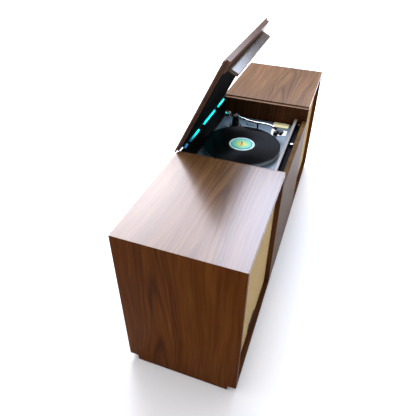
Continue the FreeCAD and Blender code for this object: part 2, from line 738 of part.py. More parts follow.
# ---- tonearm -----------------------------------------------------------------
def placed(shape):
    """Put a piece built with its pivot at 0,0 and its arm along +X in place."""
    result = shape.copy()
    result.rotate(V(0, 0, 0), V(0, 0, 1), ARM_TURN)
    result.translate(V(PIVOT_X, PIVOT_Y, 0))
    return result


def tonearm_base():
    z = DECK_Z
    body = turned([(0, z), (26, z), (26, z + 3), (24, z + 5), (15, z + 5), (15, z + 26), (0, z + 26)],
                  PIVOT_X, PIVOT_Y)
    return body.cut(rod(6 + RUN, PIVOT_X, PIVOT_Y, (z + 2, z + 27)))


def arm_yoke():
    z = DECK_Z + 26.3
    shaft = rod(6, 0, 0, (DECK_Z + 3, z))
    disc = rod(15, 0, 0, (z, z + 4))
    body = shaft.fuse(disc)
    for y in (-14, 9):
        body = body.fuse(box((-7, 7), (y, y + 5), (z + 3, ARM_Z + 7)))
    return placed(body.cut(rod_y(2 + RUN, 0, (-20, 20), ARM_Z)))


def arm_body():
    """Pivot block with its cross pin and the rear stub that carries the weight."""
    block = box((-9, 14), (-8.5, 8.5), (ARM_Z - 7, ARM_Z + 7))
    block = block.makeFillet(2, block.Edges)
    pin = rod_y(2, 0, (-14, 14), ARM_Z)
    stub = Part.makeCylinder(3, 58, V(-64, 0, ARM_Z), V(1, 0, 0))
    return placed(block.fuse(pin).fuse(stub))


def arm_tube():
    """S-shaped tube: leaves the pivot towards the record, runs back, turns in again."""
    path = Part.BSplineCurve()
    bend = math.radians(HEADSHELL_TURN)
    points = [V(14, 0, ARM_Z), V(40, -3, ARM_Z), V(70, -8, ARM_Z), V(105, -6, ARM_Z),
              V(140, 1, ARM_Z), V(164, 0, ARM_Z), V(HEADSHELL_X, HEADSHELL_Y, ARM_Z)]
    path.interpolate(Points=points, InitialTangent=V(1, 0, 0),
                     FinalTangent=V(math.cos(bend), math.sin(bend), 0))
    start = path.value(path.FirstParameter)
    ring = Part.Wire(Part.makeCircle(ARM_R, start, path.tangent(path.FirstParameter)[0]))
    tube = Part.Wire(path.toShape()).makePipeShell([ring], True, False)
    return placed(tube)


def headshell_placed(shape):
    result = shape.copy()
    result.rotate(V(0, 0, 0), V(0, 0, 1), HEADSHELL_TURN)
    result.translate(V(HEADSHELL_X, HEADSHELL_Y, 0))
    return placed(result)


def headshell():
    collar = Part.makeCylinder(5.6, 12, V(0, 0, ARM_Z), V(1, 0, 0))
    z = ARM_Z - 5
    plate = prism([(8, -8, z), (40, -9, z), (48, -6, z), (48, 6, z), (40, 9, z), (8, 8, z)], (0, 0, 4))
    lift = box((40, 44), (-23, -8), (z + 1.5, z + 3))
    return headshell_placed(collar.fuse(plate).fuse(lift))


def cartridge():
    z = ARM_Z - 5
    body = box((22, 42), (-7.5, 7.5), (z - 12, z))
    nose = prism([(42, -7.5, z), (46, -7.5, z - 2), (42, -7.5, z - 12)], (0, 15, 0))
    return headshell_placed(body.fuse(nose))


def stylus():
    z = ARM_Z - 17
    tip = RECORD_TOP + 0.2 + STYLUS_GAP
    grip = prism([(26, -4, z), (44, -4, z), (41, -4, z - 2.2), (26, -4, z - 2.2)], (0, 8, 0))
    tip_r = 0.5
    needle = turned([(0, tip), (tip_r, tip + 1), (tip_r, z - 2), (0, z - 2)], 40, 0)
    return headshell_placed(grip.fuse(needle))


def counterweight():
    body = Part.makeCylinder(WEIGHT_R, WEIGHT_L, V(-24 - WEIGHT_L, 0, ARM_Z), V(1, 0, 0))
    body = body.makeFillet(2, body.Edges)
    bore = Part.makeCylinder(3 + RUN, 80, V(-80, 0, ARM_Z), V(1, 0, 0))
    return placed(body.cut(bore))


def arm_rest():
    """Post with an open clip under the resting arm."""
    across = 6.0
    post = rod(3.5, REST_ALONG, -across, (DECK_Z, ARM_Z - 7))
    foot = rod(8, REST_ALONG, -across, (DECK_Z, DECK_Z + 2))
    clip = box((REST_ALONG - 3, REST_ALONG + 3), (-across - 8, -across + 9), (ARM_Z - 9, ARM_Z + 2))
    slot = box((REST_ALONG - 4, REST_ALONG + 4), (-across - 9, -across + 7), (ARM_Z - 5.4, ARM_Z + 3))
    return placed(post.fuse(foot).fuse(clip.cut(slot)))


def cue_lever():
    x, y = CUE
    z = DECK_Z + 14
    post = rod(3, x, y, (DECK_Z - 10, z))
    return post.fuse(box((x - 3, x + 3), (y - 34, y + 3), (z - 3, z)))


def tonearm():
    save("tonearm_base", tonearm_base())
    save("arm_yoke", arm_yoke())
    save("arm_pivot_block", arm_body())
    save("arm_tube", arm_tube())
    save("headshell", headshell())
    save("cartridge", cartridge())
    save("stylus", stylus())
    save("counterweight", counterweight())
    save("arm_rest", arm_rest())
    save("cue_lever", cue_lever())


# ---- amplifier ---------------------------------------------------------------
AMP_X = 160.0
AMP_DEPTH = 200.0
AMP_H = 60.0
AMP_T = 1.5


def amplifier():
    z = FLOOR_Z
    y = (BACK_FACE - AMP_DEPTH, BACK_FACE)
    tray = box((-AMP_X, AMP_X), y, (z, z + AMP_H))
    tray = tray.cut(box((-AMP_X + AMP_T, AMP_X - AMP_T), (y[0] + AMP_T, y[1] + 1),
                        (z + AMP_T, z + AMP_H + 1)))
    save("amplifier_tray", tray)
    board = box((-90, 130), (y[0] + 15, y[1] - 25), (z + 9, z + 10.6))
    posts = [rod(3, px, py, (z + AMP_T, z + 9)) for px in (-82, 122)
             for py in (y[0] + 23, y[1] - 33)]
    capacitors = [rod(11, -60 + 32 * i, y[0] + 50, (z + 10.6, z + 46)) for i in range(4)]
    fins = box((60, 124), (y[0] + 90, y[0] + 130), (z + 10.6, z + 14))
    for i in range(8):
        fin_x = 61 + 8.5 * i
        fins = fins.fuse(box((fin_x, fin_x + 2), (y[0] + 90, y[0] + 130), (z + 12, z + 44)))
    save("circuit_board", board, fins, *posts, *capacitors)
    core = box((-152, -108), (y[0] + 60, y[0] + 130), (z + AMP_T, z + 48))
    coil = box((-149, -111), (y[0] + 50, y[0] + 140), (z + 12, z + 38))
    save("transformer", core.fuse(coil))
    plate = box((-98, 98), (BACK_FACE + BACK_SHEET, BACK_FACE + BACK_SHEET + 2),
                (z + 12, z + 88))
    outer = BACK_FACE + BACK_SHEET
    plate = plate.cut(box((-80, -53), (outer - 1, outer + 5), (z + 30, z + 50)))
    sockets = []
    for i in range(6):
        sx = -20 + 20 * i
        ring = Part.makeCylinder(5, 5, V(sx, outer + 2, z + 50), V(0, 1, 0))
        sockets.append(ring.cut(Part.makeCylinder(1.6, 5, V(sx, outer + 4, z + 50), V(0, 1, 0))))
    save("connector_plate", plate, *sockets)
    save("power_inlet", power_inlet(outer, z))


def power_inlet(outer, z):
    body = box((-79.8, -53.2), (outer - 16, outer + 2), (z + 30.2, z + 49.8))
    flange = box((-84, -49), (outer + 2, outer + 4), (z + 27, z + 53))
    body = body.fuse(flange)
    return body.cut(box((-77, -56), (outer - 13, outer + 5), (z + 33, z + 47)))


os.makedirs("parts", exist_ok=True)
cabinet()
wings()
lid()
well_front()
deck()
tonearm()
amplifier()
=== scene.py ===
# %% [markdown]
# # A stereo console with its lid open
# The cabinet is a joiner's box: veneered boards, mitred at the ends, with a speaker behind cloth
# in each wing and a record deck sunk in the middle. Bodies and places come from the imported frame:
# each piece reads where it goes from a CAD node. The profiles of the turned parts are written out
# in millimetres, to the CAD's sizes.
# A second way would be to import the CAD and only paint it. That leaves knife-sharp edges and
# plain round parts, so boards get eased edges, and round parts and cloths are modelled again.

# %% Load the frame
import json
import math

import bpy
from mathutils import Matrix, Vector

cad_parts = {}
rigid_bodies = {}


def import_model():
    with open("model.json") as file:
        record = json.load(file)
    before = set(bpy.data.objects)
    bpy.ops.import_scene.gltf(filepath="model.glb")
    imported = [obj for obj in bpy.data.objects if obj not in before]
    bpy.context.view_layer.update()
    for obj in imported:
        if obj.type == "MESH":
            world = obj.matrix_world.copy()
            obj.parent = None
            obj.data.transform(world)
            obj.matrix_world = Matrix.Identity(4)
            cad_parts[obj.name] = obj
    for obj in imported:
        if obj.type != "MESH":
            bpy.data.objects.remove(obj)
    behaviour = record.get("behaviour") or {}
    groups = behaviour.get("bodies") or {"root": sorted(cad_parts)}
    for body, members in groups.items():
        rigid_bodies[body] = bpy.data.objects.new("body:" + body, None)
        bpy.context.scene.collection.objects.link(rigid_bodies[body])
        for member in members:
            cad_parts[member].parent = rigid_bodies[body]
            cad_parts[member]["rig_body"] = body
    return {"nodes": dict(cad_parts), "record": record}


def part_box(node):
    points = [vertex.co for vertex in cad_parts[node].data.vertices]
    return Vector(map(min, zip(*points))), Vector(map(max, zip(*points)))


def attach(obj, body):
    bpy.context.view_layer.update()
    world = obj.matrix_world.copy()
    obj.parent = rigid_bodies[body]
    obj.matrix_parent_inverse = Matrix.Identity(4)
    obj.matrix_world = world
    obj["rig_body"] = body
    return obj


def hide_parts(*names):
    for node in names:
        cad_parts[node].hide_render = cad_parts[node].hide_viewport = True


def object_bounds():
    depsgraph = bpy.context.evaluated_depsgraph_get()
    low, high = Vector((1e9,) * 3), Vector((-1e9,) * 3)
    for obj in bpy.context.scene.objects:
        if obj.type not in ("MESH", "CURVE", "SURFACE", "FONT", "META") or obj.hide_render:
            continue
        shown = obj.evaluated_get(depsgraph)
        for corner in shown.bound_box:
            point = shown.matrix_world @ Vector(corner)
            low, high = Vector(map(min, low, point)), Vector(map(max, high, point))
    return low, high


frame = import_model()
nodes = frame["nodes"]
cad_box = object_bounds()
low, high = Vector(cad_box[0]), Vector(cad_box[1])
print("CAD box", low, high)
MM = 0.001

# %% [markdown]
# Four small helpers carry most of the script. `deselect` clears the selection, because an operator
# acts on everything selected. `colour` turns an sRGB hex value to the linear numbers a shader
# wants. `node` adds one shader node with its settings and links. `finish` gives a finished piece
# its name, material and body.

# %% Helpers
def deselect():
    if bpy.context.object and bpy.context.object.mode != "OBJECT":
        bpy.ops.object.mode_set(mode="OBJECT")
    bpy.ops.object.select_all(action="DESELECT")


def colour(hexa, alpha=1.0):
    parts = [int(hexa[i:i + 2], 16) / 255 for i in (1, 3, 5)]
    linear = [c / 12.92 if c <= 0.04045 else ((c + 0.055) / 1.055) ** 2.4 for c in parts]
    return (*linear, alpha)


def node(tree, kind, inputs=None, **settings):
    made = tree.nodes.new("ShaderNode" + kind)
    for key, value in settings.items():
        setattr(made, key, value)
    for key, value in (inputs or {}).items():
        if isinstance(value, bpy.types.NodeSocket):
            tree.links.new(value, made.inputs[key])
        else:
            made.inputs[key].default_value = value
    return made


def finish(piece, name, material, body):
    piece.name = name
    piece.data.name = name
    piece.data.materials.clear()
    piece.data.materials.append(material)
    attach(piece, body)
    return piece


# %% [markdown]
# ## Studio
# A plain pale floor and soft light. The camera stands past the left end of the console and looks
# down along it, so the length is strongly foreshortened. The sky is dim up to 30 degrees above the
# horizon and bright overhead, as in a room lit from high up, so upright faces stay darker than
# level ones. The camera itself sees it plain, or a dark band would show behind the floor.

# %% Camera
CAMERA_PLACE = Vector((-1.352, -0.312, 1.288))
CAMERA_AIM = Vector((-0.070, 0.109, 0.253))
CAMERA_ROLL = math.radians(1.56)
LENS_MM = 34.12
SENSOR_MM = 36.0
SENSOR_SHIFT = (-0.0153, -0.0266)
camera_data = bpy.data.cameras.new("camera")
camera_data.lens = LENS_MM
camera_data.sensor_width = SENSOR_MM
camera_data.shift_x, camera_data.shift_y = SENSOR_SHIFT
camera = bpy.data.objects.new("camera", camera_data)
bpy.context.scene.collection.objects.link(camera)
camera.location = CAMERA_PLACE
aim = (CAMERA_AIM - CAMERA_PLACE).to_track_quat("-Z", "Y")
camera.rotation_euler = (aim.to_matrix() @ Matrix.Rotation(CAMERA_ROLL, 3, "Z")).to_euler()
bpy.context.scene.camera = camera
print("camera", CAMERA_PLACE, "lens", camera_data.lens)

# %% Floor
FLOOR_SIZE = 30
deselect()
bpy.ops.mesh.primitive_plane_add(size=FLOOR_SIZE, location=(0, 0, 0))
floor = bpy.context.object
floor.name = "studio_floor"
floor_paint = bpy.data.materials.new("studio_floor_paint")
floor_paint.use_nodes = True
floor_shader = floor_paint.node_tree.nodes["Principled BSDF"]
floor_shader.inputs["Base Color"].default_value = colour("#FDFDFD")
floor_shader.inputs["Roughness"].default_value = 0.9
floor_shader.inputs["Specular IOR Level"].default_value = 0.1
floor.data.materials.append(floor_paint)

# %% Sky
DIM_BELOW, BRIGHT_ABOVE = 0.5, 0.85     # height of a direction: 30 and 58 degrees up
SKY_DIM, SKY_BRIGHT = 0.15, 1.75
world = bpy.data.worlds.new("studio")
bpy.context.scene.world = world
world.use_nodes = True
sky = world.node_tree
rise = node(sky, "SeparateXYZ", {"Vector": node(sky, "TexCoord").outputs["Generated"]})
bright = node(sky, "MapRange", {"Value": rise.outputs["Z"], "From Min": DIM_BELOW,
                                "From Max": BRIGHT_ABOVE, "To Min": SKY_DIM,
                                "To Max": SKY_BRIGHT})
sky.nodes["Background"].inputs["Color"].default_value = colour("#FBFBFF")
backdrop = node(sky, "Mix", {"Factor": node(sky, "LightPath").outputs["Is Camera Ray"],
                             "A": bright.outputs[0], "B": 1.0})
sky.links.new(backdrop.outputs["Result"], sky.nodes["Background"].inputs["Strength"])
bpy.context.scene.view_settings.view_transform = "Standard"

# %% [markdown]
# A satin top shows a window as a pale wash. To put the wash on the near wing, the lamps hang where
# the camera's rays go after they bounce off it: a ray that comes down to the top leaves it upwards
# at the same slope, so similar triangles give the lamp's place. The open lid stands in the way of
# some of those rays, and that leaves its brown reflection beside the well. Three bands of different
# brightness stand side by side, as panes do. A smaller lamp past the right end lights from there.

# %% Window lamps
LAMP_Z = 2.6
BAND_MIDDLE = 0.42      # the bands' middle and width along the console, as shares of the span
BAND_WIDTH = 1.25
# Name, start and stop from front to back as shares of the span, radiance, tint.
WINDOW_BANDS = (("window_front", -0.3, 0.22, 15.0, "#D8E4FF"),
                ("window_middle", 0.22, 0.78, 8.2, "#F4F1FF"),
                ("window_back", 0.78, 1.4, 14.5, "#F6F5FF"))
SIDE_PLACE = (2.46, -0.36, 2.19)
SIDE_AIM = (0.0, 0.0, 0.8)
SIDE_SIZE = (0.6, 0.5)
SIDE_RADIANCE = 9.0


def bounced(x, y, flat_z):
    """Where a camera ray that bounces off a level face at x, y reaches the lamps' height."""
    slope = (LAMP_Z - flat_z) / (CAMERA_PLACE.z - flat_z)
    return Vector((x + (x - CAMERA_PLACE.x) * slope, y + (y - CAMERA_PLACE.y) * slope, LAMP_Z))


def softbox(name, place, size, radiance, tint, aim_at=None):
    """A lamp of size (x, y) metres; its power follows from its area and how bright it looks."""
    data = bpy.data.lights.new(name, "AREA")
    data.shape = "RECTANGLE"
    data.size, data.size_y = size
    data.energy = math.pi * size[0] * size[1] * radiance
    data.color = colour(tint)[:3]
    lamp = bpy.data.objects.new(name, data)
    bpy.context.scene.collection.objects.link(lamp)
    lamp.location = place
    if aim_at is not None:
        lamp.rotation_euler = (Vector(aim_at) - Vector(place)).to_track_quat("-Z", "Y").to_euler()
    return lamp


well_x = min(v.co.x for v in nodes["lid_panel"].data.vertices)
top_front, top_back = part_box("wing_top_panels")[0][1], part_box("wing_top_panels")[1][1]
near = bounced(low.x, top_front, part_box("wing_top_panels")[1][2])
far = bounced(well_x, top_back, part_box("wing_top_panels")[1][2])
span = far - near
for name, start, stop, radiance, tint in WINDOW_BANDS:
    softbox(name, (near.x + span.x * BAND_MIDDLE, near.y + span.y * (start + stop) / 2, LAMP_Z),
            (span.x * BAND_WIDTH, span.y * (stop - start)), radiance, tint)
softbox("side_window", SIDE_PLACE, SIDE_SIZE, SIDE_RADIANCE, "#D9E8FF", aim_at=SIDE_AIM)
print("lamps span", [round(c, 2) for c in near], [round(c, 2) for c in far])

# %% [markdown]
# ## Walnut veneer
# The cabinet is faced with crown-cut American walnut, sliced flat across a log, so that one part of
# each leaf shows nested arches, the "cathedral", with straight streaks on both sides. Stretched
# noise gives streaks but never arches. Here a parabola across the leaf plus a slope along it gives
# the arches, which fade out away from their centre. Three streak patterns lie over them, about 38,
# 9 and 2.4 mm wide, and all of it wanders a little from side to side. The pores come from a pattern
# 0.7 mm wide and 15 mm long, coarser than real ones so that they show.
# The wood is oiled and rubbed, so it scatters: roughness about 0.4, IOR 1.5. The tops carry a thin
# clear lacquer as well, which is a coat: that is what mirrors the window and the open lid.

# %% Walnut
AXES = ("X", "Y", "Z")
LID_TILT = -frame["record"]["behaviour"]["joints"][0]["range_deg"][0]
IOR = 1.5               # of lacquer, paint and moulded plastic alike
WOOD_ROUGHNESS = 0.42
# Wander and pores: per metre along and across, and where in the noise each starts.
WANDER = (2.6, 5.0, 20.0)
PORES = (65.0, 1500.0, 3.0)
WANDER_WIDTH = 0.06     # metres from one side to the other
ARCH_ALONG = 7.0        # half rings per metre along the leaf
ARCH_ACROSS = 1500.0    # half rings per square metre, of the distance from the heart squared
ARCH_FADE = (0.001, 0.011)      # that square where the arches start to fade and are gone
ARCH_DARK = 0.26
RING_EDGE = 0.45        # where in a half ring its dark line starts
MIDDLE_TONE = 0.52
# Streaks: the same, and the weight of each.
STREAKS = ((1.6, 26.0, 0.0, 0.5), (4.0, 110.0, 5.0, 0.42), (9.0, 420.0, 9.0, 0.34))
PORE_FROM, PORE_FULL = 0.60, 0.72
PORE_DARK = 0.4
PORE_DEPTH = 0.0002
TONE_STOPS = (0.22, 0.5, 0.80)


def veneer(name, along, across, tones, heart=0.0, arches=1.0, coat=0.0, gloss=0.2, specular=0.05,
           seed=0.0, tilt=0.0):
    """Crown-cut veneer: axes along and across the grain, and heart, where its arches centre.

    tones run from dark to pale, and tilt lays the pattern along the lid, which stands open.
    """
    material = bpy.data.materials.new(name)
    material.use_nodes = True
    tree = material.node_tree
    shader = tree.nodes["Principled BSDF"]
    flat = node(tree, "Mapping", {"Vector": node(tree, "TexCoord").outputs["Object"],
                                  "Rotation": (math.radians(tilt), 0.0, 0.0)})
    place = node(tree, "SeparateXYZ", {"Vector": flat.outputs[0]})
    normal = [a for a in AXES if a not in (along, across)][0]
    length, width, depth = (place.outputs[a] for a in (along, across, normal))

    def streaks(per_m_along, per_m_across, shift, detail=2.0):
        at = node(tree, "CombineXYZ", {
            "X": node(tree, "Math", {0: length, 1: per_m_along}, operation="MULTIPLY").outputs[0],
            "Y": node(tree, "Math", {0: width, 1: per_m_across}, operation="MULTIPLY").outputs[0],
            "Z": node(tree, "Math", {0: depth, 1: seed + shift}, operation="ADD").outputs[0]})
        return node(tree, "TexNoise", {"Vector": at.outputs[0], "Scale": 1.0,
                                       "Detail": detail}).outputs["Fac"]

    wander = node(tree, "Math", {0: streaks(*WANDER), 1: 0.5}, operation="SUBTRACT")
    width = node(tree, "Math", {0: wander.outputs[0], 1: WANDER_WIDTH, 2: width},
                 operation="MULTIPLY_ADD").outputs[0]
    off = node(tree, "Math", {0: width, 1: heart}, operation="SUBTRACT")
    square = node(tree, "Math", {0: off.outputs[0], 1: off.outputs[0]}, operation="MULTIPLY")
    run = node(tree, "Math", {0: length, 1: ARCH_ALONG}, operation="MULTIPLY")
    count = node(tree, "Math", {0: square.outputs[0], 1: ARCH_ACROSS, 2: run.outputs[0]},
                 operation="MULTIPLY_ADD")
    ring = node(tree, "Math", {0: count.outputs[0], 1: 1.0}, operation="PINGPONG")
    line = node(tree, "MapRange", {"Value": ring.outputs[0], "From Min": RING_EDGE,
                                   "From Max": 1.0}, interpolation_type="SMOOTHSTEP")
    fade = node(tree, "MapRange", {"Value": square.outputs[0], "From Min": ARCH_FADE[0],
                                   "From Max": ARCH_FADE[1], "To Min": -ARCH_DARK * arches,
                                   "To Max": 0.0})
    total = node(tree, "Math", {0: line.outputs[0], 1: fade.outputs[0], 2: MIDDLE_TONE},
                 operation="MULTIPLY_ADD").outputs[0]
    for along_m, across_m, shift, weight in STREAKS:
        swing = node(tree, "Math", {0: streaks(along_m, across_m, shift), 1: 0.5},
                     operation="SUBTRACT")
        total = node(tree, "Math", {0: swing.outputs[0], 1: weight, 2: total},
                     operation="MULTIPLY_ADD").outputs[0]
    wood = node(tree, "ValToRGB", {"Fac": total})
    wood.color_ramp.elements[0].position = TONE_STOPS[0]
    wood.color_ramp.elements[0].color = colour(tones[0])
    wood.color_ramp.elements[1].position = TONE_STOPS[2]
    wood.color_ramp.elements[1].color = colour(tones[2])
    wood.color_ramp.elements.new(TONE_STOPS[1]).color = colour(tones[1])
    pitted = node(tree, "MapRange", {"Value": streaks(*PORES), "From Min": PORE_FROM,
                                     "From Max": PORE_FULL, "To Max": PORE_DARK})
    final = node(tree, "Mix", {"Factor": pitted.outputs[0], "A": wood.outputs["Color"],
                               "B": colour(tones[0])}, data_type="RGBA")
    dips = node(tree, "Bump", {"Height": pitted.outputs[0], "Strength": 0.1,
                               "Distance": -PORE_DEPTH})
    tree.links.new(final.outputs["Result"], shader.inputs["Base Color"])
    tree.links.new(dips.outputs["Normal"], shader.inputs["Normal"])
    tree.links.new(dips.outputs["Normal"], shader.inputs["Coat Normal"])
    shader.inputs["Roughness"].default_value = WOOD_ROUGHNESS
    shader.inputs["IOR"].default_value = IOR
    shader.inputs["Specular IOR Level"].default_value = specular
    shader.inputs["Coat Weight"].default_value = coat
    shader.inputs["Coat Roughness"].default_value = gloss
    return material


# Each leaf's dark, middle and pale tone.
END_TONES = ("#3A1B04", "#582C06", "#704213")
TOP_TONES = ("#46301E", "#65472C", "#836240")
LID_TONES = ("#41281A", "#62402A", "#805B3D")
FRONT_TONES = ("#3C2812", "#553B1B", "#6E512C")
# The strip's tones are grey and pale: walnut, with a painted reflection of the window on its
# lacquer.
STRIP_TONES_AND_SHEEN = ("#57504A", "#77706A", "#8F8882")
DARK_TONES = ("#28140A", "#482914", "#684022")
end_veneer = veneer("oiled_crown_cut_walnut", "Z", "Y", END_TONES, heart=0.07, arches=0.7,
                     specular=0.02, seed=1.0)
top_veneer = veneer("lacquered_crown_cut_walnut", "X", "Y", TOP_TONES, heart=-0.05, arches=0.7,
                    coat=1.0, gloss=0.24, seed=3.0)
lid_veneer = veneer("lacquered_walnut_lid", "X", "Y", LID_TONES, heart=0.25, coat=0.3, seed=5.0,
                    tilt=LID_TILT)
fascia_veneer = veneer("lacquered_walnut_fascia", "Z", "X", FRONT_TONES, heart=0.1, coat=1.0,
                       gloss=0.18, seed=6.0, tilt=LID_TILT)
front_veneer = veneer("oiled_walnut_front", "Z", "X", FRONT_TONES, heart=0.04, specular=0.03,
                      seed=8.0)
well_veneer = veneer("dark_oiled_walnut", "Z", "Y", DARK_TONES, arches=0.3, seed=11.0)
# Painted reflection: the strip's grey tones stand in for the window on its lacquer.
strip_veneer_and_sheen = veneer("walnut_edge_strip_and_painted_sheen", "X", "Y", STRIP_TONES_AND_SHEEN, heart=0.5, coat=1.0, gloss=0.24,
                      seed=2.0)
band_veneer = veneer("lacquered_walnut_edge_band", "Y", "X", TOP_TONES, heart=0.8, coat=1.0,
                     gloss=0.2, seed=7.0)
board_veneer = veneer("walnut_bottom_board", "X", "Y", DARK_TONES, heart=0.5, seed=4.0)
print("veneers", [m.name for m in bpy.data.materials if "walnut" in m.name])

# %% [markdown]
# ## Plain finishes
# Moulded plastic, powder coat, plate and rubber differ mostly in roughness and in whether they are
# metal. All but the chrome and the lenses also have a fine grit, drawn a little coarse so that it
# shows, or a large smooth area looks dead. Each has a faint unevenness of tone, as handling and
# dust give. Lining card, rubber and cone paper are matt and swallow light. Enamel and cream ABS
# carry a thin clear gloss. Chrome mirrors sharply, and satin or plated metal blurs what it mirrors.

# %% Plain finishes
PATCH_SCALE = 22.0      # patches of tone about 45 mm across
GRIT_STRENGTH = 0.35


def plain(name, hexa, rough, metal=0.0, grit_mm=0.0, depth_mm=0.0, vary=0.06, coat=0.0,
          specular=0.5):
    material = bpy.data.materials.new(name)
    material.use_nodes = True
    tree = material.node_tree
    shader = tree.nodes["Principled BSDF"]
    place = node(tree, "TexCoord").outputs["Object"]
    patch = node(tree, "TexNoise", {"Vector": place, "Scale": PATCH_SCALE, "Detail": 3.0})
    base = colour(hexa)
    darker = tuple(c * (1 - vary * 2) for c in base[:3]) + (1.0,)
    tone = node(tree, "Mix", {"Factor": patch.outputs["Fac"], "A": base, "B": darker},
                data_type="RGBA")
    tree.links.new(tone.outputs["Result"], shader.inputs["Base Color"])
    if grit_mm:
        grit = node(tree, "TexNoise", {"Vector": place, "Scale": 1.0 / (grit_mm * MM),
                                       "Detail": 2.0})
        bump = node(tree, "Bump", {"Height": grit.outputs["Fac"], "Strength": GRIT_STRENGTH,
                                   "Distance": depth_mm * MM})
        tree.links.new(bump.outputs["Normal"], shader.inputs["Normal"])
    shader.inputs["Roughness"].default_value = rough
    shader.inputs["Metallic"].default_value = metal
    if not metal:
        shader.inputs["IOR"].default_value = IOR
        shader.inputs["Specular IOR Level"].default_value = specular
    shader.inputs["Coat Weight"].default_value = coat
    return material


black_board = plain("black_stained_board", "#0D0907", 0.5, grit_mm=1.2, depth_mm=0.05, specular=0.1)
lining_card = plain("matt_black_lining_card", "#0A0A0C", 0.9, grit_mm=1.5, depth_mm=0.03,
                    specular=0.05)
raw_board = plain("unfinished_birch_board", "#A98B62", 0.75, grit_mm=0.8, depth_mm=0.1, vary=0.15)
hardboard = plain("tempered_hardboard", "#4A3322", 0.55, grit_mm=0.9, depth_mm=0.12, vary=0.15)
powder_coat = plain("black_powder_coat", "#070707", 0.55, grit_mm=0.6, depth_mm=0.08,
                     specular=0.04)
deck_paint = plain("blue_grey_hammered_enamel", "#5A6E7A", 0.34, grit_mm=1.6, depth_mm=0.1,
                   coat=0.2)
zinc = plain("zinc_plated_steel", "#B9BCBD", 0.36, metal=1.0, grit_mm=1.5, depth_mm=0.03, vary=0.12)
chrome = plain("polished_chrome", "#E8EAEC", 0.08, metal=1.0, vary=0.03)
bright_metal = plain("satin_aluminium", "#D5D6D4", 0.3, metal=1.0, grit_mm=0.4, depth_mm=0.02)
dark_metal = plain("dark_anodised_aluminium", "#4C4E52", 0.35, metal=1.0, grit_mm=0.4, depth_mm=0.02)
bronze = plain("dark_bronze_plate", "#1E1612", 0.6, metal=1.0, grit_mm=0.5, depth_mm=0.02)
brass = plain("satin_brass", "#C9A35A", 0.3, metal=1.0, grit_mm=0.5, depth_mm=0.02)
black_abs = plain("black_moulded_abs", "#0B0B0C", 0.38, grit_mm=0.5, depth_mm=0.04,
                  specular=0.3)
white_paint = plain("white_stoved_enamel", "#E9E9E6", 0.3, grit_mm=0.7, depth_mm=0.02, coat=0.3)
cream_abs = plain("cream_moulded_abs", "#EFE5B4", 0.3, grit_mm=0.7, depth_mm=0.02, coat=0.3)
rubber = plain("moulded_rubber", "#121212", 0.75, grit_mm=0.5, depth_mm=0.05)
cone_paper = plain("treated_cone_paper", "#17161A", 0.85, grit_mm=0.8, depth_mm=0.15, vary=0.2)
laminate = plain("circuit_board_laminate", "#1C5A2C", 0.4, grit_mm=2.0, depth_mm=0.05, vary=0.2)
print("finishes", len(bpy.data.materials))

# %% [markdown]
# The lid's light bar has acrylic lenses with a lamp behind them. They could be lamps, but a lens
# is a piece that shines, so its material gives off light. The cyan ones fall off to a dark blue
# towards their near end, and the small pilot lens glows evenly and dimly.

# %% Lit lenses
def lit(name, hexa, edge, glow, fade_mm):
    """A lens that glows in hexa, and in edge at the light bar's low-x end, blended over fade_mm."""
    material = plain(name, hexa, 0.25)
    tree = material.node_tree
    shader = tree.nodes["Principled BSDF"]
    place = node(tree, "SeparateXYZ", {"Vector": node(tree, "TexCoord").outputs["Object"]})
    start = min(v.co.x for v in nodes["lid_light_lenses"].data.vertices)
    reach = node(tree, "MapRange", {"Value": place.outputs["X"], "From Min": start,
                                    "From Max": start + fade_mm * MM})
    tone = node(tree, "Mix", {"Factor": reach.outputs[0], "A": colour(edge), "B": colour(hexa)},
                data_type="RGBA")
    tree.links.new(tone.outputs["Result"], shader.inputs["Emission Color"])
    shader.inputs["Emission Strength"].default_value = glow
    return material


cyan_lens = lit("lit_cyan_acrylic", "#00F4FA", "#003A5C", 1.3, 55)
pilot_lens = lit("dim_blue_acrylic", "#2A86C4", "#2A86C4", 0.8, 1)

# %% [markdown]
# ## Grille cloth
# Speaker cloth is an open weave of paper and cotton yarn, stretched over a frame. Each yarn is
# about 1.6 mm across. Two crossed waves make the over and under of a plain weave, and a noise
# drawn out upwards makes some upright yarns darker, as slubs are. The colour is also darker where
# the waves dip: painted shade in the hollows between yarns. It could be real strands, but 300
# yarns each way cost more than they show.

# %% Grille cloth
YARN = 1.6 * MM
SLUBS_ACROSS = 500.0    # per metre: 2 mm wide
SLUBS_UP = 14.0         # per metre: 70 mm long


